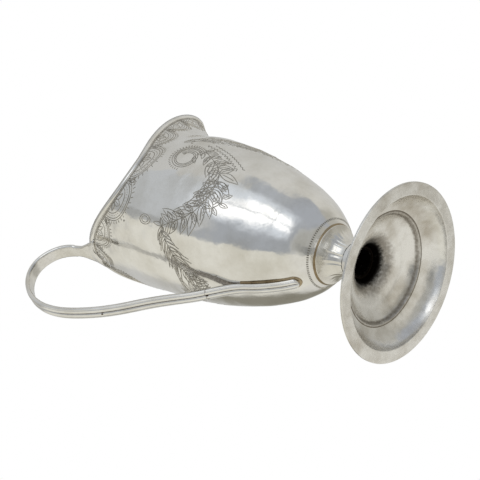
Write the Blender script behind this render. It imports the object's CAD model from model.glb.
"""Looks of a silver helmet-shaped cream jug, built round its CAD frame."""

import math

import bpy
import numpy as np
from mathutils import Matrix, Vector


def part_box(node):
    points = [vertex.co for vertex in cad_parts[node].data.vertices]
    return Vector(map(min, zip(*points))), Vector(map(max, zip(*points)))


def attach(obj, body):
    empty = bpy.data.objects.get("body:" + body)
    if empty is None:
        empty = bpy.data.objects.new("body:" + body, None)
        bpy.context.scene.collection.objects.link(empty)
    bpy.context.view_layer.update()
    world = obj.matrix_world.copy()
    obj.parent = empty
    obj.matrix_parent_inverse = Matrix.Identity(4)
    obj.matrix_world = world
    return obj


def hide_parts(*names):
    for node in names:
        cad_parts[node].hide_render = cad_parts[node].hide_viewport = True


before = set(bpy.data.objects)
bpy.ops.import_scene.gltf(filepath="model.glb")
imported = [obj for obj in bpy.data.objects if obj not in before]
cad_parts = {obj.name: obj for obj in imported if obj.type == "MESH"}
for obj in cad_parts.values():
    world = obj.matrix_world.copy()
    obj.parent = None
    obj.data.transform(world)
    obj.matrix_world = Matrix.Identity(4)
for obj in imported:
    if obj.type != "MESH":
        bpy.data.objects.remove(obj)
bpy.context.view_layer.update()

MM = 0.001
BODY = "root"

# ---------------------------------------------------------------- sizes, in millimetres

# Bowl: round below, drawn out into the lip above. The powers set how full each curve is.
BOWL_RADIUS = -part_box("bowl")[0][0] / MM
BOWL_BOTTOM = 25.2
BELLY_LEVEL = 105.0
BOWL_WALL = 0.8
LIP_START = 93.0
LIP_REACH = 15.1
MOUTH_PINCH = 1.5
MOUTH_SHIFT = 6.0
RIM_BACK = 129.2
RIM_DIP = 111.0
RIM_DIP_PLACE = -9.0
RIM_LIP = 136.2
BELLY_POWER = 2.2
LIP_POWER = 2.4
TONGUE_POWER = 0.2
BACK_POWER = 2.45
# Rise of the rim toward the lip: shares of its run and of its height.
FRONT_SWEEP = ((0.08, 0.03), (0.24, 0.18), (0.54, 0.54), (0.79, 0.815), (1.0, 1.0), (1.2, 1.13))

# Border wire round the mouth.
WIRE_HEIGHT = 2.2
WIRE_PROUD = 0.3
WIRE_DEEP = 0.25
THREADS = 3

# Handle: half widths, levels and thicknesses of the strap and its fishtail.
STRAP_HALF = 3.0
STRAP_END_HALF = 2.2
STRAP_THICK = 1.9
FISHTAIL_HALF = 8.1
FISHTAIL_LAP = 0.9
FISHTAIL_TOP = 9.5
FISHTAIL_SHEET = 0.9
FISHTAIL_BEND = 30.0
ROOT_RUN = 16.0
HANDLE_RISE = 20.9
HANDLE_REACH = 31.0
HANDLE_SEAT = 0.3
HANDLE_APPROACH = 68.5
HANDLE_CONTACT = 54.0
HANDLE_END = 34.0
LOOP_MIDDLE = (-44.0, 115.0)

# Foot, stem and collar.
FOOT_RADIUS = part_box("foot")[1][0] / MM
FOOT_FLANGE = 4.6
FOOT_PLATE = 0.6
FOOT_SHEET = 0.8
LEDGE_OUTER = FOOT_RADIUS - FOOT_FLANGE - 6.5
LEDGE_INNER = LEDGE_OUTER - 0.9
LEDGE_LEVEL = 6.5
CROWN = LEDGE_INNER - 6.2
CROWN_LEVEL = 10.5
NECK_RADIUS = 6.4
NECK_LEVEL = 21.0
SPIGOT_END = 17.0
SPIGOT_CLEARANCE = 0.05
COLLAR_RADIUS = 10.9
COLLAR_LEVEL = 28.9
BRIM_LEVEL = 29.7
FOOT_WIRE_WIDTH = 1.6
FOOT_WIRE_EDGE = 0.2

# Engraving: widths and heights of the cuts, and the pattern's pitch. SKIN_SCALE is mm per degree.
CUT_WIDTH = 0.32
PUNCH_WIDTH = 0.5
PUNCH_LEVEL = 31.3
PUNCH_MARKS = 96
BURR_HEIGHT = 0.09
SKIN_SCALE = 0.55
SCALLOP_PITCH = 16.6
SCALLOP_DEPTH = 7.4
SCALLOP_TOP = 2.5

# Points round every turned ring.
AROUND = 288


# ---------------------------------------------------------------- curves and surfaces

def spline(knots, values, at):
    """Natural cubic spline through the values, read at the given places."""
    knots, values, at = (np.asarray(array, float) for array in (knots, values, at))
    count = len(knots)
    gap = np.diff(knots)
    slope = np.diff(values, axis=0) / (gap if values.ndim == 1 else gap[:, None])
    matrix = np.eye(count)
    right = np.zeros_like(values)
    for row in range(1, count - 1):
        matrix[row, row - 1:row + 2] = gap[row - 1], 2 * (gap[row - 1] + gap[row]), gap[row]
        right[row] = 6 * (slope[row] - slope[row - 1])
    bend = np.linalg.solve(matrix, right)
    span = np.clip(np.searchsorted(knots, at) - 1, 0, count - 2)
    step = gap[span]
    before, after = at - knots[span], knots[span + 1] - at
    if values.ndim > 1:
        step, before, after = step[:, None], before[:, None], after[:, None]
    left, end = bend[span], bend[span + 1]
    straight = (values[span] / step - left * step / 6) * after
    straight += (values[span + 1] / step - end * step / 6) * before
    return left * after ** 3 / (6 * step) + end * before ** 3 / (6 * step) + straight


def distance_along(points):
    """Distance from the first point to each one, along the line through them."""
    return np.concatenate([[0], np.cumsum(np.linalg.norm(np.diff(points, axis=0), axis=1))])


def smooth_step(value, start, end):
    """0 before the start, 1 after the end and an S-shaped rise between them."""
    share = np.clip((value - start) / (end - start), 0.0, 1.0)
    return share * share * (3.0 - 2.0 * share)


def round_radius(level, grow=0.0):
    """Radius of the round part of the bowl, or of a skin that lies a little outside it."""
    depth = BELLY_LEVEL - BOWL_BOTTOM + grow
    share = np.clip((BELLY_LEVEL - level) / depth, 0.0, 1.0) ** BELLY_POWER
    return (BOWL_RADIUS + grow) * np.sqrt(1.0 - share)


def bowl_point(angle, level, grow=0.0):
    """Point of the bowl's skin: angle 0 is under the handle, pi is under the lip."""
    plain = round_radius(level, grow)
    waist = smooth_step(level, LIP_START, RIM_DIP)
    middle = -MOUTH_SHIFT * waist
    flare = np.maximum(level - LIP_START, 0.0) / (RIM_LIP - LIP_START)
    front = plain + LIP_REACH * flare ** LIP_POWER
    side = plain - MOUTH_PINCH * waist
    toward_lip = np.maximum(-np.cos(angle), 0.0)
    tongue = 1.0 + TONGUE_POWER * flare * smooth_step(toward_lip, 0.0, 0.5)
    half = np.where(toward_lip > 0, front - middle, plain + middle)
    x = middle - np.cos(angle) * half
    y = -side * np.sign(np.sin(angle)) * np.abs(np.sin(angle)) ** tongue
    return np.stack(np.broadcast_arrays(x, y, level), axis=-1)


def bowl_normal(angle, level):
    """Outward direction of the bowl's skin."""
    small = 0.01
    around = bowl_point(angle + small, level) - bowl_point(angle - small, level)
    up = bowl_point(angle, level + small) - bowl_point(angle, level - small)
    across = np.cross(up, around)
    across /= np.linalg.norm(across, axis=-1, keepdims=True)
    return across


def rim_line(x):
    """Level of the rim in side view."""
    back_run = RIM_DIP_PLACE - (HANDLE_SEAT - BOWL_RADIUS)
    front_run = BOWL_RADIUS + LIP_REACH - RIM_DIP_PLACE
    places, levels = [], []
    for share in (1.2, 1.0, 0.8, 0.6, 0.4, 0.2, 0.0):
        places.append(RIM_DIP_PLACE - back_run * share)
        levels.append(RIM_DIP + (RIM_BACK - RIM_DIP) * share ** BACK_POWER)
    for share, height in FRONT_SWEEP:
        places.append(RIM_DIP_PLACE + front_run * share)
        levels.append(RIM_DIP + (RIM_LIP - RIM_DIP) * height)
    return spline(places, levels, x)


def solved_rim_level(angle):
    """Level at which the skin meets the rim line, at each angle."""
    low = np.full(angle.shape, RIM_DIP - 10.0)
    high = np.full(angle.shape, RIM_LIP + 8.0)
    for _ in range(30):
        middle = (low + high) / 2
        over = middle > rim_line(bowl_point(angle, middle)[..., 0])
        high = np.where(over, middle, high)
        low = np.where(over, low, middle)
    return (low + high) / 2


RIM_ANGLES = np.linspace(0, 2 * math.pi, 2881)
RIM_LEVELS = solved_rim_level(RIM_ANGLES)


def rim_level(angle):
    return np.interp(np.asarray(angle, float) % (2 * math.pi), RIM_ANGLES, RIM_LEVELS)


def noise_at(points, size, seed, waves=22):
    """Soft noise about -1 to 1 at each point, with bumps about the given size in mm."""
    chance = np.random.default_rng(seed)
    total = np.zeros(points.shape[:-1])
    for _ in range(waves):
        aim = chance.normal(size=3)
        aim *= 2 * math.pi / (np.linalg.norm(aim) * size * chance.uniform(1.1, 2.6))
        total += np.sin(points @ aim + chance.uniform(0, 2 * math.pi))
    return total / math.sqrt(2 * waves)


# ---------------------------------------------------------------- meshes

def mesh_piece(name, vertices, faces, nodes, material, values=None):
    """A piece that rides on the jug and stands for its CAD nodes; the vertices are in mm."""
    mesh = bpy.data.meshes.new(name)
    mesh.from_pydata((np.asarray(vertices) * MM).tolist(), [], faces)
    mesh.update()
    for label, numbers in (values or {}).items():
        attribute = mesh.attributes.new(label, "FLOAT", "POINT")
        attribute.data.foreach_set("value", np.asarray(numbers, np.float32).ravel())
    mesh.polygons.foreach_set("use_smooth", [True] * len(mesh.polygons))
    piece = bpy.data.objects.new(name, mesh)
    bpy.context.scene.collection.objects.link(piece)
    mesh.materials.append(material)
    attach(piece, BODY)
    if nodes:
        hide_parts(*nodes)
    return piece


def grid_faces(rows, columns, wrap_rows=False):
    """Quads over a grid of points, row after row; every row is a closed ring."""
    faces = []
    for row in range(rows if wrap_rows else rows - 1):
        above = (row + 1) % rows
        for column in range(columns):
            beside = (column + 1) % columns
            faces.append((row * columns + column, row * columns + beside,
                          above * columns + beside, above * columns + column))
    return faces


def fan_faces(ring, center, flip):
    """Triangles from a ring of vertices to a centre vertex."""
    pairs = zip(ring, ring[1:] + ring[:1])
    return [(end, start, center) if flip else (start, end, center) for start, end in pairs]


def bulged(start, end, bulge, steps):
    """Points from start to end along an arc that rises to the left of its chord."""
    start, end = np.array(start, float), np.array(end, float)
    chord = end - start
    length = np.hypot(*chord)
    if abs(bulge) < 1e-6:
        return [start + chord * step / steps for step in range(steps)]
    radius = (length ** 2 / 4 + bulge ** 2) / (2 * abs(bulge))
    left = np.array((-chord[1], chord[0])) / length * math.copysign(1.0, bulge)
    center = (start + end) / 2 + left * (abs(bulge) - radius)
    half = math.asin(min(length / 2 / radius, 1.0))
    sweep = -math.copysign(1.0, bulge)
    points = []
    across, up = start - center
    for step in range(steps):
        turn = sweep * half * (2 * step / steps)
        points.append(center + np.array((across * math.cos(turn) - up * math.sin(turn),
                                         across * math.sin(turn) + up * math.cos(turn))))
    return points


def eased(outline, reach):
    """The closed outline with every corner eased over the reach."""
    points = []
    count = len(outline)
    for index in range(count):
        before, corner, after = (np.array(outline[(index + shift) % count]) for shift in (-1, 0, 1))
        into, out = corner - before, after - corner
        turn = np.dot(into, out) / (np.linalg.norm(into) * np.linalg.norm(out) + 1e-12)
        if turn > math.cos(math.radians(12)):
            points.append(corner)
            continue
        start = corner - into * min(reach / np.linalg.norm(into), 0.5)
        end = corner + out * min(reach / np.linalg.norm(out), 0.5)
        for share in (0.0, 0.25, 0.5, 0.75, 1.0):
            points.append((1 - share) ** 2 * start + 2 * share * (1 - share) * corner
                          + share ** 2 * end)
    return points


def rounded(corners, reach):
    """Closed outline through (corner, bulge of the run to the next, steps), its corners eased."""
    points = []
    for index, (start, bulge, steps) in enumerate(corners):
        points += bulged(start, corners[(index + 1) % len(corners)][0], bulge, steps)
    return np.array(eased(points, reach))


def turned_piece(name, outline, node, material, dent, flutes=0.0, values=None):
    """Revolve a closed outline of (radius, level) points, dent it and let it wander off round."""
    outline = np.array(outline)
    angles = np.linspace(0, 2 * math.pi, AROUND, endpoint=False)
    radius, level = outline[:, 0][:, None], outline[:, 1][:, None]
    wander = sum(np.sin(order * angles + order ** 2) for order in (3, 5, 7, 8, 11, 13, 17, 22)) / 3
    edge = outline[:, 0].max()
    inner = 1 - smooth_step(radius, edge - 2.5, edge - 0.5)
    radius = radius - flutes * inner * np.abs(wander)
    points = np.stack(np.broadcast_arrays(radius * np.cos(angles), radius * np.sin(angles),
                                          level), axis=-1)
    soft = np.clip((level - 0.3) / 1.0, 0.0, 1.0)
    points[..., 2] += dent * soft * noise_at(points, size=7.0, seed=31)
    values = {label: np.broadcast_to(numbers[:, None], points.shape[:-1])
              for label, numbers in (values or {}).items()}
    (across, up), (next_across, next_up) = outline.T, np.roll(outline, -1, axis=0).T
    faces = grid_faces(len(outline), AROUND, wrap_rows=True)
    if np.sum(across * next_up - next_across * up) < 0:
        faces = [face[::-1] for face in faces]
    return mesh_piece(name, points.reshape(-1, 3), faces, [node], material, values)


# ---------------------------------------------------------------- materials

def linear(code):
    """Linear colour from an sRGB hex value."""
    parts = [int(code[index:index + 2], 16) / 255 for index in (1, 3, 5)]
    return [part / 12.92 if part <= 0.04045 else ((part + 0.055) / 1.055) ** 2.4
            for part in parts] + [1.0]


def add(tree, kind, settings=None, **links):
    """Add a node, set its properties, then set or link its inputs: i0 is the first, or by name."""
    node = tree.nodes.new(kind)
    for key, value in (settings or {}).items():
        setattr(node, key, value)
    for key, value in links.items():
        numbered = key[0] == "i" and key[1:].isdigit()
        socket = node.inputs[int(key[1:]) if numbered else key.replace("_", " ")]
        if isinstance(value, bpy.types.NodeSocket):
            tree.links.new(value, socket)
        else:
            socket.default_value = value
    return node


def reckon(tree, operation, *inputs, clamp=False):
    """Output of a sum on the given sockets and numbers."""
    named = {f"i{index}": value for index, value in enumerate(inputs)}
    return add(tree, "ShaderNodeMath", {"operation": operation, "use_clamp": clamp},
               **named).outputs[0]


def new_material(name):
    material = bpy.data.materials.new(name)
    material.use_nodes = True
    tree = material.node_tree
    tree.nodes.clear()
    return material, tree


def silver(name, clean, aged, rough, smudge, hammer, tarnish=()):
    """Sterling silver, metallic throughout: a film of age over a bright metal.

    The eye sees soft patches where the polish is thinner, hairline scratches, and brown
    sulphide where a cloth doesn't reach. Each tarnish is a vertex attribute, its colour and
    how much it dulls the metal.
    """
    material, tree = new_material(name)
    place = add(tree, "ShaderNodeTexCoord").outputs["Object"]

    def mottle(size, detail, rough=0.5):
        """Noise with grains of about the given size in mm."""
        return add(tree, "ShaderNodeTexNoise", Vector=place, Scale=1 / (size * MM),
                   Detail=detail, Roughness=rough).outputs["Fac"]

    patches = mottle(14, 4.0, 0.6)
    film = add(tree, "ShaderNodeMapRange", Value=patches, From_Min=0.42, From_Max=0.75).outputs[0]
    color = add(tree, "ShaderNodeMix", {"data_type": "RGBA"}, i0=film, i6=linear(clean),
                i7=linear(aged)).outputs[2]
    roughness = add(tree, "ShaderNodeMapRange", Value=mottle(5, 5.0, 0.7), From_Min=0.3,
                    From_Max=0.75, To_Min=rough, To_Max=rough + smudge).outputs[0]
    for label, dark, dull in tarnish:
        amount = add(tree, "ShaderNodeAttribute", {"attribute_name": label}).outputs["Fac"]
        ragged = reckon(tree, "MULTIPLY_ADD", mottle(1.1, 6.0, 0.75), 0.9, -0.45)
        uneven = reckon(tree, "ADD", amount, ragged)
        dirt = add(tree, "ShaderNodeMapRange", {"interpolation_type": "SMOOTHSTEP"},
                   Value=uneven, From_Min=0.35, From_Max=0.95).outputs[0]
        gated = reckon(tree, "MULTIPLY", dirt, amount)
        color = add(tree, "ShaderNodeMix", {"data_type": "RGBA"}, i0=gated, i6=color,
                    i7=linear(dark)).outputs[2]
        roughness = reckon(tree, "MULTIPLY_ADD", gated, dull, roughness, clamp=True)
    dents = add(tree, "ShaderNodeBump", Strength=hammer, Distance=0.25 * MM,
                Height=mottle(4.5, 2.0)).outputs[0]
    fine = add(tree, "ShaderNodeBump", Strength=0.05, Distance=0.02 * MM,
               Height=mottle(0.35, 3.0), Normal=dents).outputs[0]
    shader = add(tree, "ShaderNodeBsdfPrincipled", Base_Color=color, Metallic=1.0,
                 Roughness=roughness, Normal=fine).outputs[0]
    add(tree, "ShaderNodeOutputMaterial", Surface=shader)
    return material


# Sterling silver polished by hand over hammer work: a bright, slightly wavy mirror.
polished_silver = silver("polished_sterling_silver", "#f4f3f0", "#dcd9d1", 0.08, 0.10, 0.42,
                         tarnish=(("tarnish", "#4a3420", 0.35),))
# The collar is the same mirror, but black inside where nothing reaches it.
collar_silver = silver("collar_sterling_silver", "#f1efe9", "#d0ccc2", 0.14, 0.14, 0.35,
                       tarnish=(("hollow", "#0d0906", 0.5),))
# The foot is cleaned less often underneath: paler, duller, with black sulphide up the stem.
foot_silver = silver("dull_sterling_silver", "#f3f2ef", "#b9b2a5", 0.17, 0.20, 0.7,
                     tarnish=(("crease", "#6f6557", 0.2), ("hollow", "#0d0906", 0.5)))
# Hard silver solder goes brown first, because of the copper and zinc in it.
solder = silver("tarnished_silver_solder", "#b8a88c", "#6e5839", 0.35, 0.2, 0.5)
# On the foot's edge the same solder is wiped each time the silver is, so it stays grey.
clean_solder = silver("wiped_silver_solder", "#dcd8ce", "#b3aa9a", 0.2, 0.15, 0.3)
# Inside the stem it is as black as the walls.
stem_solder = silver("blackened_silver_solder", "#1d1611", "#0d0906", 0.6, 0.2, 0.5)
# Bright-cut lines hold a thin dark residue at their bottoms.
cut_silver = silver("bright_cut_silver", "#e4e1d9", "#c4beb2", 0.12, 0.10, 0.1,
                    tarnish=(("valley", "#2a2119", 0.3),))


# ---------------------------------------------------------------- bowl

def planished(points):
    """Depth of the hammer work at each point: broad waves with small facets on them."""
    broad = 0.13 * noise_at(points, size=17.0, seed=7)
    small = 0.08 * noise_at(points, size=6.0, seed=53)
    below_rim = rim_line(points[..., 0]) - points[..., 2]
    return (broad + small) * smooth_step(below_rim, 1.5, 7.0)


def seam_tarnish(points):
    """Brown film beside the strap's lower end, the collar and the fishtail, from 0 to 1."""
    x, y, z = np.moveaxis(points, -1, 0)
    half = STRAP_END_HALF + (STRAP_HALF - STRAP_END_HALF) * np.clip((z - HANDLE_END) / 150, 0, 1)
    center = np.maximum(HANDLE_END + half - z, 0)
    beside = np.abs(np.hypot(y, center) - half)
    soldered = 1 - smooth_step(z, HANDLE_CONTACT, HANDLE_CONTACT + 8.0)
    strap = np.exp(-(beside / 0.42) ** 2) * (x < 0) * soldered
    collar = 0.8 * np.exp(-((z - BRIM_LEVEL - 0.05) / 0.28) ** 2)
    under_tail = RIM_BACK - FISHTAIL_LAP - WIRE_HEIGHT - z
    tail = np.exp(-(under_tail / 0.5) ** 2) * (x < 0) * (1 - smooth_step(np.abs(y), 7.0, 9.0))
    return np.clip(strap + collar + 0.8 * tail, 0, 1)


def make_bowl():
    """Skin, eased rim edge and inner wall of the bowl as one closed shell."""
    ease = 0.25
    angle = np.linspace(0, 2 * math.pi, AROUND, endpoint=False)
    edge = rim_level(angle) - ease
    fall = BELLY_LEVEL - BOWL_BOTTOM
    lower = [BELLY_LEVEL - fall * math.cos(math.radians(turn)) ** (2 / BELLY_POWER)
             for turn in np.linspace(3, 72, 70)]
    share = np.linspace(0, 1, 96)[1:]
    rows = [bowl_point(angle, np.full(AROUND, level)) for level in lower]
    rows += [bowl_point(angle, lower[-1] + (edge - lower[-1]) * part) for part in share]
    skin = np.array(rows)
    across = np.array([bowl_normal(angle, row[:, 2]) for row in skin])
    skin = skin + across * planished(skin)[..., None]
    raised = [level + BOWL_WALL for level in lower[::2]]
    inside = [bowl_point(angle, np.full(AROUND, level), -BOWL_WALL) for level in raised]
    inside += [bowl_point(angle, raised[-1] + (edge - raised[-1]) * part, -BOWL_WALL)
               for part in share[2::3]]
    inside = np.array(inside)
    inside[:-1, :, :2] *= 1 + 0.002 * noise_at(inside[:-1], size=15.0, seed=92)[..., None]
    crest = []
    for turn in np.radians((30, 60, 90, 120, 150)):
        mix = (1 - math.cos(turn)) / 2
        ring = skin[-1] * (1 - mix) + inside[-1] * mix
        ring[:, 2] += ease * math.sin(turn)
        crest.append(ring)
    shell = np.concatenate([skin, np.array(crest), inside[::-1]])
    points = shell.reshape(-1, 3)
    rows, bottom = len(shell), len(points)
    points = np.vstack([points, (0, 0, skin[0, 0, 2] - 0.02), (0, 0, inside[0, 0, 2] - 0.02)])
    first_ring = list(range(AROUND))
    last_ring = list(range((rows - 1) * AROUND, rows * AROUND))
    faces = grid_faces(rows, AROUND) + fan_faces(first_ring, bottom, True)
    faces += fan_faces(last_ring, bottom + 1, False)
    faces = [face[::-1] for face in faces]
    film = np.zeros(len(points))
    film[:len(skin) * AROUND] = seam_tarnish(skin).ravel()
    return mesh_piece("bowl_shell", points, faces, ["bowl"], polished_silver,
                      {"tarnish": film})


# ---------------------------------------------------------------- rim border

def rim_measured():
    """Angles round the mouth and the distance along the rim to each, from under the handle."""
    angles = np.linspace(0, 2 * math.pi, 4001)
    return angles, distance_along(bowl_point(angles, rim_level(angles)))


RIM_ANGLE, RIM_RUN = rim_measured()
RIM_LENGTH = RIM_RUN[-1]


def rim_place(run):
    """Angle and level of the rim at a distance along it."""
    angle = np.interp(run % RIM_LENGTH, RIM_RUN, RIM_ANGLE)
    return angle, rim_level(angle)


def on_border(run, depth, lift=0.0):
    """Points of the skin at distances along the rim and depths below it, square to it."""
    angle, level = rim_place(run)
    along = bowl_point(*rim_place(run + 0.2)) - bowl_point(*rim_place(run - 0.2))
    along /= np.linalg.norm(along, axis=-1, keepdims=True)
    outward = bowl_normal(angle, level)
    down = np.cross(along, outward)
    down *= np.where(down[..., 2:] > 0, -1.0, 1.0)
    turn_rate = (bowl_point(angle + 0.01, level) - bowl_point(angle - 0.01, level)) / 0.02
    rise_rate = (bowl_point(angle, level + 0.05) - bowl_point(angle, level - 0.05)) / 0.1
    # The turn and rise that go one millimetre straight down the skin.
    tt, rr = (turn_rate ** 2).sum(-1), (rise_rate ** 2).sum(-1)
    tr = (turn_rate * rise_rate).sum(-1)
    dt, dr = (down * turn_rate).sum(-1), (down * rise_rate).sum(-1)
    scale = tt * rr - tr * tr
    turn = (dt * rr - dr * tr) / scale
    rise = (dr * tt - dt * tr) / scale
    angle, level = angle + turn * depth, level + rise * depth
    outward = bowl_normal(angle, level)
    return bowl_point(angle, level) + outward * lift, outward


def make_rim_wire():
    """Three soft threads all round the outside of the mouth; the fishtail sits on them."""
    stations = 520
    margin = 0.15
    run = np.linspace(0, RIM_LENGTH, stations, endpoint=False)
    share = np.linspace(0, 1, 31)
    wave = np.abs(np.sin(math.pi * THREADS * share))
    depths = np.append(margin + (WIRE_HEIGHT - 2 * margin) * share, (WIRE_HEIGHT - margin, margin))
    lifts = np.append(0.08 + (WIRE_PROUD - 0.10) * wave ** 0.6, (-WIRE_DEEP, -WIRE_DEEP))
    rows = [on_border(run, np.full(stations, depth), lift)[0]
            for depth, lift in zip(depths, lifts)]
    points = np.array(rows).transpose(1, 0, 2)
    valley = np.tile(np.append(1 - wave, (0, 0)) ** 3, (stations, 1))
    return mesh_piece("rim_thread_border", points.reshape(-1, 3),
                      grid_faces(stations, len(depths), wrap_rows=True),
                      ["rim_wire"], polished_silver, {"tarnish": 0.75 * valley})


# ---------------------------------------------------------------- engraving

def arc(center, radii, start, end, steps=18):
    """Flat elliptic arc between two angles in degrees."""
    turn = np.radians(np.linspace(start, end, steps))
    return np.stack([center[0] + radii[0] * np.cos(turn), center[1] + radii[1] * np.sin(turn)], -1)


def heading(degrees):
    """Unit vector in a direction."""
    return np.array((math.cos(math.radians(degrees)), math.sin(math.radians(degrees))))


def leaf(base, aim, length, width, curl=0.0):
    """Outline of a leaf from its base, and its vein."""
    ahead, aside = heading(aim), heading(aim + 90)
    share = np.linspace(0, 1, 8)[:, None]
    swell = width * np.sin(math.pi * share ** 0.85)
    spine = base + ahead * length * share + aside * curl * length * share ** 2
    outline = np.concatenate([spine + aside * swell, (spine - aside * swell)[::-1][1:]])
    return [outline, spine[1:6]] if width > 0.9 else [outline]


def along_path(knots, spacing):
    """Evenly spaced points on a smooth path, with the direction of travel in degrees."""
    reach = distance_along(knots)
    fine = spline(reach, knots, np.linspace(0, reach[-1], 300))
    run = distance_along(fine)
    count = max(int(round(run[-1] / spacing)), 2)
    at = np.linspace(0, run[-1], count + 1)
    points = np.stack([np.interp(at, run, fine[:, axis]) for axis in (0, 1)], -1)
    step = np.gradient(points, axis=0)
    return points, np.degrees(np.arctan2(step[:, 1], step[:, 0]))


def spray(knots, spacing, length, width, spread, seed, stem=True):
    """Leaves on both sides of a stem, longest half way along; with no width they are hair lines."""
    chance = np.random.default_rng(seed)
    points, aims = along_path(knots, spacing)
    strokes = [points] if stem else []
    for index, (point, aim) in enumerate(zip(points, aims)):
        full = 0.55 + 0.45 * math.sin(math.pi * (index + 0.5) / len(points))
        for side in (-1, 1):
            size = length * full * chance.uniform(0.75, 1.15)
            turn = aim + side * spread * chance.uniform(0.8, 1.2)
            blade = leaf(point, turn, size, max(width, 0.1) * size / length, side * -0.22)
            strokes += blade if width else [blade[0][:8]]
    return strokes


def wriggle(knots, spacing, reach):
    """Zigzag line rocked along a path."""
    points, aims = along_path(knots, spacing)
    aside = np.stack([-np.sin(np.radians(aims)), np.cos(np.radians(aims))], -1)
    signs = np.where(np.arange(len(points)) % 2 == 0, 1.0, -1.0)[:, None]
    return [points + aside * signs * reach]


def ticks(points, aims, reach):
    """Short cuts square to a path."""
    strokes = []
    for point, aim in zip(points, aims):
        aside = heading(aim + 90) * reach
        strokes.append(np.array([point - aside, point, point + aside]))
    return strokes


def spiral(center, start_radius, end_radius, start, end):
    """Flat curl between two radii and two angles in degrees."""
    radius = np.linspace(start_radius, end_radius, 44)
    turn = np.radians(np.linspace(start, end, 44))
    return np.stack([center[0] + radius * np.cos(turn), center[1] + radius * np.sin(turn)], -1)


def scallop():
    """One hanging festoon of the border: across is along the rim, down is negative."""
    half = SCALLOP_PITCH / 2
    strokes = [arc((0, 0), (half - inset, SCALLOP_DEPTH - inset), 180, 360, 26)
               for inset in (0.15, 1.0, 2.9)]
    dots = arc((0, 0), (half - 2.0, SCALLOP_DEPTH - 2.0), 184, 356, 20)
    strokes += [np.array([dot - (0.12, 0), dot + (0.12, 0)]) for dot in dots]
    edge = arc((0, 0), (half + 0.7, SCALLOP_DEPTH + 0.7), 205, 335, 15)
    strokes += ticks(edge, np.degrees(np.arctan2(edge[:, 1], edge[:, 0])) - 90, 0.42)
    strokes += leaf(np.array((0.0, -0.3)), -90, 3.4, 1.2)
    for side in (-1, 1):
        strokes += leaf(np.array((side * 0.8, -0.4)), -90 + side * 48, 3.3, 0.7, side * 0.25)
    strokes += leaf(np.array((half, -1.4)), -90, 3.4, 0.45)
    for aim in (-62, -118):
        strokes += leaf(np.array((half, -1.0)), aim, 2.6, 0.4)
    return strokes


def border_strokes():
    """Festoons all round the mouth under a double line, in distance along and up from the rim."""
    strokes = []
    count = round(RIM_LENGTH / SCALLOP_PITCH)
    first = np.interp(math.radians(91), RIM_ANGLE, RIM_RUN)
    for index in range(count):
        middle = first + index * RIM_LENGTH / count
        strokes += [stroke + (middle, -SCALLOP_TOP) for stroke in scallop()]
    line = np.linspace(0, RIM_LENGTH, 360)
    strokes += [np.stack([line, np.full(360, -depth)], -1) for depth in (2.55, 3.05)]
    return strokes


def side_strokes():
    """Wreath, garland, rosette and palm of one side: across runs to the lip, up to the rim."""
    def at(degrees, level):
        return np.array((degrees * SKIN_SCALE, level))

    strokes = []
    wreath = at(93, 89.6)
    for inset in (0.0, 0.85, 1.5):
        strokes.append(spiral(wreath, 7.0 - inset, 3.6 - inset, -60, 430))
    strokes += ticks(*along_path(spiral(wreath, 7.8, 6.3, -50, 200)[::4], 1.1), 0.4)
    strokes += leaf(wreath + (1.6, -3.0), 200, 4.0, 0.8, 0.3)
    garland = [at(103, 84.5), at(96.5, 76.9), at(88.5, 71.3), at(72, 69.8), at(57, 72.9),
               at(48.5, 78.4), at(40.5, 86.4)]
    strokes += spray(garland, 3.9, 9.2, 1.7, 58, 11)
    strokes += spray(garland, 5.2, 5.4, 1.2, 100, 5, stem=False)
    rosette = at(69.5, 68.6)
    for radius in (1.1, 2.2, 3.3, 4.4):
        strokes.append(arc(rosette, (radius, radius), -150, 130))
    for aim in range(-150, 180, 40):
        strokes += leaf(rosette + heading(aim) * 4.2, aim, 3.8, 0.95, 0.2)
    palm = [at(37, 86.5), at(26, 82.4), at(12, 78.2), at(0.5, 73.5)]
    strokes += spray(palm, 2.0, 8.7, 0, 52, 23) + spray(palm, 3.4, 8.7, 1.1, 44, 7)
    for size in (1.0, 0.62):
        strokes.append(arc(at(42, 95), (1.9 * size, 2.6 * size), 0, 360))
    strokes += wriggle([at(111, 87.5), at(107, 77.3), at(97, 66.6)], 0.9, 0.5)
    strokes += wriggle([at(114, 85), at(110, 76), at(100, 64.5)], 0.9, 0.3)
    frond = [at(110, 99), at(121, 90), at(134, 77.4), at(148.5, 60.5)]
    strokes += spray(frond, 3.4, 6.4, 1.1, 44, 31)
    strokes += wriggle([at(116, 88), at(128, 75), at(140, 60)], 0.9, 0.5)
    for dot in (at(39, 105.8), at(108.5, 94.6)):
        strokes.append(arc(dot, (0.3, 0.3), 0, 330, 7))
    return strokes


def ring_strokes():
    """Row of punch marks round the bowl just above the collar."""
    reach = 0.28
    return [np.array([(turn, PUNCH_LEVEL + lift) for lift in (-reach, 0, reach)])
            for turn in np.linspace(0, 2 * math.pi, PUNCH_MARKS, endpoint=False)]


def strokes_mesh(name, curves):
    """Wire mesh of strokes, each given as points and outward directions, tapered at the ends."""
    vertices, edges, outward, width = [], [], [], []
    for points, normals in curves:
        first = len(vertices)
        count = len(points)
        share = np.linspace(0, 1, count)
        vertices += (points * MM).tolist()
        outward += normals.tolist()
        width += (0.45 + 0.55 * np.minimum(1, 5 * np.minimum(share, 1 - share) + 0.1)).tolist()
        edges += [(first + index, first + index + 1) for index in range(count - 1)]
    mesh = bpy.data.meshes.new(name)
    mesh.from_pydata(vertices, edges, [])
    away = mesh.attributes.new("outward", "FLOAT_VECTOR", "POINT")
    away.data.foreach_set("vector", np.ravel(outward))
    taper = mesh.attributes.new("cut_width", "FLOAT", "POINT")
    taper.data.foreach_set("value", np.ravel(width))
    return mesh


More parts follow.
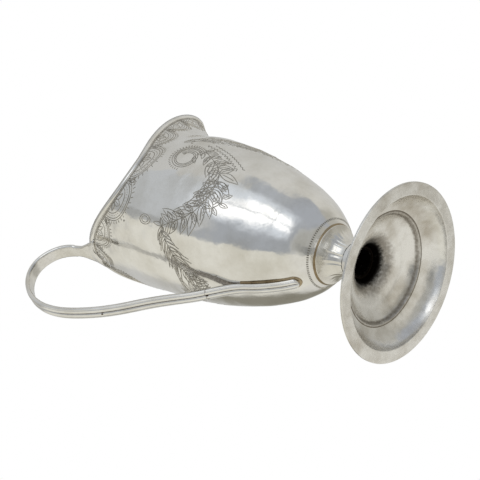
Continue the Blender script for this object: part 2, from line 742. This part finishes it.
def stroke_tree():
    """Sweep a cut with raised edges and a low middle along every stroke, square to the skin."""
    tree = bpy.data.node_groups.new("engraved_strokes", "GeometryNodeTree")
    for label, kind in (("Strokes", "Geometry"), ("Cut width", "Float"), ("Burr height", "Float"),
                        ("Finish", "Material")):
        tree.interface.new_socket(label, in_out="INPUT", socket_type="NodeSocket" + kind)
    tree.interface.new_socket("Engraving", in_out="OUTPUT", socket_type="NodeSocketGeometry")
    given = add(tree, "NodeGroupInput").outputs

    def read(label, kind):
        return add(tree, "GeometryNodeInputNamedAttribute", {"data_type": kind},
                   Name=label).outputs[0]

    # The eight-sided ring becomes the section: a burr each side, low between them, flat below.
    circle = add(tree, "GeometryNodeCurvePrimitiveCircle", Resolution=8, Radius=1.0).outputs[0]
    place = add(tree, "GeometryNodeInputPosition").outputs[0]
    parts = add(tree, "ShaderNodeSeparateXYZ", Vector=place).outputs
    side = reckon(tree, "ABSOLUTE", parts[0])
    swell = reckon(tree, "SINE", reckon(tree, "MULTIPLY", side, math.pi))
    raised = reckon(tree, "MULTIPLY_ADD", swell, 0.9, 0.25)
    top = reckon(tree, "MULTIPLY_ADD", reckon(tree, "POWER", side, 8.0), -1.1, raised)
    upper = reckon(tree, "GREATER_THAN", parts[1], -0.01)
    height = add(tree, "ShaderNodeMix", {"data_type": "FLOAT"}, i0=upper, i2=-1.0,
                 i3=top).outputs[0]
    lifted = reckon(tree, "MULTIPLY", height, given["Burr height"])
    across = reckon(tree, "MULTIPLY", parts[0], reckon(tree, "MULTIPLY", given["Cut width"], 0.5))
    section = add(tree, "ShaderNodeCombineXYZ", X=lifted, Y=across).outputs[0]
    dirt = add(tree, "ShaderNodeMapRange", Value=side, From_Min=1.05, From_Max=0.45).outputs[0]
    marked = add(tree, "GeometryNodeStoreNamedAttribute",
                 {"data_type": "FLOAT", "domain": "POINT"}, Geometry=circle, Name="valley",
                 Value=dirt).outputs[0]
    profile = add(tree, "GeometryNodeSetPosition", Geometry=marked, Position=section).outputs[0]
    lines = add(tree, "GeometryNodeMeshToCurve", Mesh=given["Strokes"]).outputs[0]
    sized = add(tree, "GeometryNodeSetCurveRadius", Curve=lines,
                Radius=read("cut_width", "FLOAT")).outputs[0]
    facing = add(tree, "GeometryNodeSetCurveNormal", {"mode": "FREE"}, Curve=sized,
                 Normal=read("outward", "FLOAT_VECTOR")).outputs[0]
    swept = add(tree, "GeometryNodeCurveToMesh", Curve=facing, Profile_Curve=profile,
                Fill_Caps=True).outputs[0]
    whole = add(tree, "GeometryNodeRealizeInstances", Geometry=swept).outputs[0]
    dressed = add(tree, "GeometryNodeSetMaterial", Geometry=whole,
                  Material=given["Finish"]).outputs[0]
    add(tree, "NodeGroupOutput", Engraving=dressed)
    return tree


def engraved_piece(name, curves, tree, width=CUT_WIDTH):
    """Grow the cuts along the curves and keep them as one plain mesh."""
    source = bpy.data.objects.new(name + "_lines", strokes_mesh(name + "_lines", curves))
    bpy.context.scene.collection.objects.link(source)
    modifier = source.modifiers.new("strokes", "NODES")
    modifier.node_group = tree
    sockets = {item.name: item.identifier for item in tree.interface.items_tree
               if item.in_out == "INPUT"}
    modifier[sockets["Cut width"]] = width * MM
    modifier[sockets["Burr height"]] = BURR_HEIGHT * MM
    modifier[sockets["Finish"]] = cut_silver
    graph = bpy.context.evaluated_depsgraph_get()
    graph.update()
    mesh = bpy.data.meshes.new_from_object(source.evaluated_get(graph), depsgraph=graph)
    mesh.name = name
    source.modifiers.clear()
    bpy.data.objects.remove(source)
    mesh.polygons.foreach_set("use_smooth", [True] * len(mesh.polygons))
    piece = bpy.data.objects.new(name, mesh)
    bpy.context.scene.collection.objects.link(piece)
    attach(piece, BODY)
    return piece


def laid(strokes, chart):
    """Lay flat strokes on the hammered skin: points and outward directions of each."""
    ends = np.cumsum([len(stroke) for stroke in strokes])[:-1]
    place, outward = chart(np.concatenate(strokes))
    place = place + outward * planished(place)[:, None]
    return list(zip(np.split(place, ends), np.split(outward, ends)))


def side_chart(mirrored):
    """Chart of one flank: degrees round from the handle, and level kept clear of the border."""
    def chart(flat):
        angle = np.radians(flat[:, 0] / SKIN_SCALE) * (-1 if mirrored else 1)
        level = np.minimum(flat[:, 1], rim_level(angle) - 9.5)
        return bowl_point(angle, level), bowl_normal(angle, level)
    return chart


def rim_chart(flat):
    """Chart of the border: distance along the rim, and height above it."""
    return on_border(flat[:, 0], -flat[:, 1])


def turned_chart(flat):
    """Chart of the round part of the bowl: angle and level."""
    return bowl_point(flat[:, 0], flat[:, 1]), bowl_normal(flat[:, 0], flat[:, 1])


def make_engraving():
    """Festoons, a garland on each side and the punched ring."""
    tree = stroke_tree()
    engraved_piece("engraved_rim_festoons", laid(border_strokes(), rim_chart), tree)
    flat = side_strokes()
    engraved_piece("engraved_garland_right", laid(flat, side_chart(False)), tree)
    engraved_piece("engraved_garland_left", laid(flat, side_chart(True)), tree)
    engraved_piece("punched_collar_ring", laid(ring_strokes(), turned_chart), tree, PUNCH_WIDTH)


# ---------------------------------------------------------------- handle

def strap_line():
    """Centre line of the strap in side view, from the rim over the loop to the bowl."""
    half = STRAP_THICK / 2
    back = HANDLE_SEAT - BOWL_RADIUS - half
    reach = HANDLE_REACH - half
    drop = RIM_BACK - HANDLE_APPROACH
    points = [(back, RIM_BACK + 1.0)]
    for out, up in ((0.06, 0.6), (0.17, 0.84), (0.43, 1.0), (0.79, 0.74)):
        points.append((back - out * reach, RIM_BACK + up * HANDLE_RISE))
    for out, down in ((1.0, 0.04), (0.92, 0.25), (0.62, 0.56), (0.33, 0.78), (0.08, 1.0)):
        points.append((back - out * reach, RIM_BACK - down * drop))
    for level in np.linspace(HANDLE_CONTACT, HANDLE_END, 5):
        points.append((-round_radius(level) - half * 0.85, level))
    knots = distance_along(points)
    line = spline(knots, points, np.linspace(0, knots[-1], 3000))
    return line, distance_along(line)


def reed_height(across):
    """Height of the strap's outer face: two reeds, a groove between and a thread at each edge."""
    side = np.abs(across)
    reed = 0.66 * np.sqrt(np.clip(1 - ((side - 0.42) / 0.35) ** 2, 0, 1))
    thread = 0.34 * np.sqrt(np.clip(1 - ((side - 0.87) / 0.10) ** 2, 0, 1))
    return np.maximum(reed, thread) - 0.70


def strap_marks(points, outer):
    """Tarnish on the strap, from 0 to 1: grooves, the shaded inner face, one nick and one pit."""
    x, y, z = np.moveaxis(points, -1, 0)
    edge_groove = np.exp(-((np.abs(outer) - 0.77) / 0.03) ** 2)
    groove = 1.2 * np.exp(-(outer / 0.11) ** 2) + 0.5 * edge_groove
    front, back = slice(None, len(outer)), slice(len(outer), None)
    film = np.empty(x.shape)
    film[:, front] = groove
    film[:, back] = 0.45 + 0.32 * (1 - smooth_step(z[:, back], 92.0, 118.0))
    nick = 0.9 * np.exp(-((z - 65.3) / 0.32) ** 2) * (np.abs(y) < 2.4)
    film[:, front] += nick[:, front]
    pit = ((x + 56.2) / 1.5) ** 2 + ((y - 0.6) / 0.27) ** 2 + ((z - 101.7) / 0.38) ** 2
    return film + 1.6 * np.exp(-pit)


def make_handle():
    """Strap with its fishtail, one closed skin of sections square to the centre line."""
    line, run = strap_line()
    total = run[-1]
    fishtail = np.linspace(RIM_BACK - FISHTAIL_LAP, RIM_BACK + 1.5, 16)
    round_end = total - STRAP_END_HALF
    stations = np.concatenate([np.linspace(0, round_end, 330)[8:],
                               total - STRAP_END_HALF * (1 - np.linspace(0.15, 1.0, 9))])
    outer = np.linspace(-1, 1, 61)
    inner = np.linspace(1, -1, 13)[1:-1]

    def section(place, along, half, thick, wrap, droop, reed):
        """One ring: the outer face with reeds and eased edges, then the flat inner face."""
        outward = np.array((along[1], -along[0]))
        outward *= -1 if np.dot(outward, place - LOOP_MIDDLE) < 0 else 1
        top = thick / 2 + reed * reed_height(outer) - 0.25 * thick * (np.abs(outer) > 0.999)
        height = np.append(top, np.full(len(inner), -thick / 2))
        side = np.append(outer, inner) * half
        bend = wrap * side ** 2 / (2 * FISHTAIL_BEND)
        return np.stack([place[0] + outward[0] * height + bend, -side,
                         place[1] + outward[1] * height - droop * side ** 2], -1)

    rings = []
    for level in fishtail:
        share = (level - fishtail[0]) / FISHTAIL_TOP
        place = np.array((-BOWL_RADIUS - FISHTAIL_SHEET / 2 - 0.02, level))
        rings.append(section(place, (0.0, 1.0), fishtail_half(level), FISHTAIL_SHEET, 1.0,
                             0.045 * (1 - 0.5 * share), 0.15))
    for station in stations:
        behind, place, ahead = (
            np.array([np.interp(station + shift, run, line[:, axis]) for axis in (0, 1)])
            for shift in (-0.3, 0.0, 0.3))
        along = (ahead - behind) / np.linalg.norm(ahead - behind)
        half = STRAP_HALF + (STRAP_END_HALF - STRAP_HALF) * station / total
        blend = 1.0
        if station < ROOT_RUN:
            blend = smooth_step(place[1], RIM_BACK, RIM_BACK + FISHTAIL_TOP)
            half = max(fishtail_half(place[1]), half * 0.9) if blend < 1 else STRAP_HALF
        if station > round_end:
            half *= math.sqrt(max(1 - ((station - round_end) / STRAP_END_HALF) ** 2, 0.02))
        thick = FISHTAIL_SHEET + (STRAP_THICK - FISHTAIL_SHEET) * blend
        rings.append(section(place, along, half, thick, 1 - blend, 0.03 * (1 - blend),
                             0.15 + 0.85 * blend))
    points = np.array(rings)
    film = strap_marks(points, outer)
    points[..., 0] += 0.05 * noise_at(points, size=9.0, seed=22)
    rows, columns = points.shape[:2]
    faces = grid_faces(rows, columns)
    faces.append(tuple(range(columns))[::-1])
    faces.append(tuple(range((rows - 1) * columns, rows * columns)))
    return mesh_piece("handle_reeded_strap", points.reshape(-1, 3), faces,
                      ["handle_strap", "handle_upper_solder"], polished_silver, {"tarnish": film})


def fishtail_half(level):
    """Half width of the fishtail: concave sides from the rim up to the strap."""
    share = np.clip((level - RIM_BACK + 0.6) / (FISHTAIL_TOP + 0.6), 0, 1)
    return STRAP_HALF * 0.9 + (FISHTAIL_HALF - STRAP_HALF * 0.9) * (1 - share) ** 2.6


# ---------------------------------------------------------------- foot and stem

def make_foot():
    """Stepped foot and hollow stem, thin sheet with eased edges."""
    sheet = FOOT_SHEET
    flange = FOOT_RADIUS - FOOT_FLANGE
    top = [((FOOT_RADIUS, 0.0), 0, 2), ((FOOT_RADIUS, FOOT_PLATE), 0, 6),
           ((flange + sheet, FOOT_PLATE), -1.3, 22),
           ((LEDGE_OUTER + 0.8 * sheet, LEDGE_LEVEL + sheet), 0, 4),
           ((LEDGE_INNER + 0.4 * sheet, LEDGE_LEVEL + sheet), -0.9, 18),
           ((CROWN + 0.6 * sheet, CROWN_LEVEL + 0.8 * sheet), 2.3, 26),
           ((NECK_RADIUS, NECK_LEVEL), 0, 2)]
    under = [((NECK_RADIUS - sheet, NECK_LEVEL), -2.3, 30), ((CROWN, CROWN_LEVEL), 0.9, 22),
             ((LEDGE_INNER, LEDGE_LEVEL), 0, 4), ((LEDGE_OUTER, LEDGE_LEVEL), 1.3, 26),
             ((flange, 0.0), 0, 8)]
    outline = rounded(top + under, 0.22)
    radius = outline[:, 0]
    below = np.array([under_side(*corner) for corner in outline])
    soot = 1.25 - 1.25 * smooth_step(radius, 5.8, 10.8)
    stains = ((LEDGE_OUTER, 0.8, 0.95), (LEDGE_INNER - 0.7, 0.8, 0.8), (27.0, 0.6, 0.9),
              (9.0, 4.0, 0.75))
    crease = sum(depth * np.exp(-((radius - place) / spread) ** 2)
                 for place, spread, depth in stains)
    return turned_piece("foot_stepped", outline, "foot", foot_silver, 0.07,
                        values={"hollow": np.clip(soot * below, 0, 1),
                                "crease": np.clip(crease * below, 0, 1)})


def under_side(radius, level):
    """1 on the underside of the foot's sheet, 0 on its top, parted by a line inside the sheet."""
    if radius > LEDGE_OUTER:
        return float(level < FOOT_PLATE * 0.5)
    if radius > CROWN:
        rise = (CROWN_LEVEL - LEDGE_LEVEL) * (LEDGE_OUTER - radius) / (LEDGE_OUTER - CROWN)
        return float(level < LEDGE_LEVEL + rise + 0.55)
    share = (level - CROWN_LEVEL) / (NECK_LEVEL - CROWN_LEVEL)
    wall = NECK_RADIUS - 0.4 + (CROWN - NECK_RADIUS) * max(1 - share, 0) ** 2.2
    return float(radius < wall)


def make_foot_wire():
    """Thin wire with a soft crown, let in on the foot's edge."""
    inner = FOOT_RADIUS - FOOT_WIRE_WIDTH
    shoulder = FOOT_PLATE + FOOT_WIRE_EDGE
    outline = [(FOOT_RADIUS, FOOT_PLATE), (FOOT_RADIUS, shoulder)]
    outline += bulged((FOOT_RADIUS, shoulder), (inner, shoulder), -0.3, 10)[1:]
    outline += [(inner, shoulder), (inner, FOOT_PLATE)]
    return turned_piece("foot_edge_wire", eased(outline, 0.06), "foot_wire",
                        polished_silver, 0.0)


def make_collar():
    """Hollow collar: spigot in the stem, waist, and a brim against the bowl."""
    wall = FOOT_SHEET
    outer = NECK_RADIUS - wall - SPIGOT_CLEARANCE
    corners = [((outer, SPIGOT_END), 0, 4), ((outer, NECK_LEVEL), 0, 2),
               ((NECK_RADIUS, NECK_LEVEL), 1.4, 30), ((COLLAR_RADIUS, COLLAR_LEVEL), 0, 4),
               ((COLLAR_RADIUS, BRIM_LEVEL), 0, 3),
               ((COLLAR_RADIUS - wall, BRIM_LEVEL - 0.15), -1.4, 24),
               ((outer - wall, NECK_LEVEL), 0, 4), ((outer - wall, SPIGOT_END), 0, 2)]
    outline = rounded(corners, 0.18)
    inside = (outline[:, 1] < NECK_LEVEL + 0.3) | (outline[:, 0] < NECK_RADIUS - 0.3)
    return turned_piece("stem_spreading_collar", outline, "stem_collar",
                        collar_silver, 0.10, 0.16, {"hollow": inside.astype(float)})


# ---------------------------------------------------------------- surroundings

# Each patch of the surroundings: tone and strength; then its left and right edge in azimuth, its
# low and high edge in height, and how soft its sides and its ends are, all in degrees.
SURROUNDINGS = (
    ("#b4b2ab", 1.0, (-60, 52, -52, -8, 14, 9)),
    ("#dfddd4", 1.0, (116, 190, -30, 50, 8, 5)),
    ("#dfddd4", 1.0, (-190, -155, -30, 46, 1.5, 5)),
    ("#aaa8a1", 1.0, (132, 190, 50, 85, 8, 5)),
    ("#b4b2aa", 1.0, (-190, -150, 54, 85, 3, 5)),
    ("#bec1c4", 1.0, (-155, -76, 24, 62, 1.5, 6)),
    ("#a9abac", 1.0, (-155, -143, 8, 60, 1.5, 6)),
    ("#aeaeaa", 1.0, (-150, -50, -66, -36, 10, 6)),
    ("#8d8e8d", 1.0, (-158, -125, -80, -44, 4, 5)),
    ("#a6aab0", 1.0, (-155, -76, -36, 20, 1.5, 7)),
    ("#a8acb3", 1.0, (-80, -22, -36, 2, 3, 5)),
    ("#aeb2b8", 1.0, (-80, -46, -6, 17, 3, 5)),
    ("#dae0e8", 1.0, (-122, -68, -22, 28, 7, 6)),
    ("#ffffff", 1.6, (-106, -82, -20, 4, 5, 6)),
    ("#ffffff", 1.3, (-116, -92, -4, 20, 6, 6)),
    ("#aab1ba", 1.0, (-97.5, -95.5, -22, 22, 1.2, 3)),
    ("#aab1ba", 1.0, (-118, -70, -8.5, -6.5, 3, 1.2)),
    ("#8b887d", 1.0, (66, 116, 4, 36, 8, 6)),
)


def make_world():
    """A pale studio with a dim room on one side, a barred window and a shaded table edge.

    The mirror shows it as bands that run along the bowl; the background itself stays white.
    """
    world = bpy.data.worlds.new("studio")
    bpy.context.scene.world = world
    world.use_nodes = True
    tree = world.node_tree
    tree.nodes.clear()

    def ramp(value, start, end):
        return add(tree, "ShaderNodeMapRange", {"interpolation_type": "SMOOTHSTEP"}, Value=value,
                   From_Min=start, From_Max=end).outputs[0]

    def edges(value, low, high, blur):
        """1 between two values, falling softly to 0 outside them."""
        return reckon(tree, "MULTIPLY", ramp(value, low - blur, low + blur),
                      ramp(value, high + blur, high - blur))

    def mixed(mask, below, above):
        return add(tree, "ShaderNodeMix", {"data_type": "RGBA"}, i0=mask, i6=below,
                   i7=above).outputs[2]

    direction = add(tree, "ShaderNodeTexCoord").outputs["Generated"]
    parts = add(tree, "ShaderNodeSeparateXYZ", Vector=direction).outputs
    azimuth = reckon(tree, "DEGREES", reckon(tree, "ARCTAN2", parts[1], parts[0]))
    height = reckon(tree, "DEGREES", reckon(tree, "ARCSINE", parts[2]))
    color = mixed(ramp(height, -45.0, 60.0), linear("#dedcd5"), linear("#c3c3c1"))
    for tone, strength, (left, right, low, high, soft_side, soft_end) in SURROUNDINGS:
        level = [channel * strength for channel in linear(tone)[:3]] + [1.0]
        mask = reckon(tree, "MULTIPLY", edges(azimuth, left, right, soft_side),
                      edges(height, low, high, soft_end))
        color = mixed(mask, color, level)
    behind = add(tree, "ShaderNodeLightPath").outputs["Is Camera Ray"]
    shown = mixed(behind, color, (1.0, 1.0, 1.0, 1.0))
    glow = add(tree, "ShaderNodeBackground", Color=shown, Strength=1.0).outputs[0]
    add(tree, "ShaderNodeOutputWorld", Surface=glow)


def make_floor():
    """A pale floor that fades into the backdrop and is open from below."""
    bpy.ops.mesh.primitive_circle_add(vertices=96, radius=2.0, fill_type="TRIFAN")
    floor = bpy.context.object
    floor.name = "studio_floor"
    material, tree = new_material("studio_floor_paper")
    place = add(tree, "ShaderNodeTexCoord").outputs["Object"]
    distance = add(tree, "ShaderNodeVectorMath", {"operation": "LENGTH"}, i0=place).outputs["Value"]
    far = add(tree, "ShaderNodeMapRange", {"interpolation_type": "SMOOTHSTEP"}, Value=distance,
              From_Min=0.06, From_Max=0.3).outputs[0]
    paper = add(tree, "ShaderNodeBsdfDiffuse", Color=linear("#f6f6f4")).outputs[0]
    glow = add(tree, "ShaderNodeEmission", Color=(1.0, 1.0, 1.0, 1.0)).outputs[0]
    above = add(tree, "ShaderNodeMixShader", i0=far, i1=paper, i2=glow).outputs[0]
    clear = add(tree, "ShaderNodeBsdfTransparent").outputs[0]
    facing = add(tree, "ShaderNodeNewGeometry").outputs["Backfacing"]
    shader = add(tree, "ShaderNodeMixShader", i0=facing, i1=above, i2=clear).outputs[0]
    add(tree, "ShaderNodeOutputMaterial", Surface=shader)
    floor.data.materials.append(material)
    for ray in ("diffuse", "glossy", "transmission", "shadow"):
        setattr(floor, "visible_" + ray, False)


def make_light():
    """One broad soft box high over the jug."""
    light = bpy.data.lights.new("overhead_softbox", "AREA")
    light.shape = "DISK"
    light.size = 0.9
    light.energy = 9.0
    lamp = bpy.data.objects.new("overhead_softbox", light)
    lamp.location = (0.1, -0.1, 1.3)
    lamp.visible_glossy = False
    bpy.context.scene.collection.objects.link(lamp)


def make_camera():
    """Long lens, looking up at the foot from behind and below the handle."""
    place = Vector((-217.9, -303.1, -247.6)) * MM
    forward = Vector((0.43449, 0.62052, 0.65282))
    up = Vector((0.67851, -0.70216, 0.21583))
    right = forward.cross(up).normalized()
    up = right.cross(forward).normalized()
    camera_data = bpy.data.cameras.new("camera")
    camera_data.lens = 97.5
    camera_data.sensor_width = 36.0
    camera_data.clip_start = 0.01
    camera = bpy.data.objects.new("camera", camera_data)
    turn = Matrix((right, up, -forward)).transposed()
    camera.matrix_world = Matrix.Translation(place) @ turn.to_4x4()
    bpy.context.scene.collection.objects.link(camera)
    bpy.context.scene.camera = camera


make_bowl()
make_rim_wire()
make_handle()
make_foot()
make_foot_wire()
make_collar()
make_engraving()
for node, finish in (("handle_lower_solder", solder), ("collar_solder", solder),
                     ("neck_solder", stem_solder), ("foot_wire_solder", clean_solder)):
    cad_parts[node].data.materials.clear()
    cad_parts[node].data.materials.append(finish)

make_world()
make_light()
make_floor()
make_camera()
bpy.context.scene.view_settings.view_transform = "Standard"
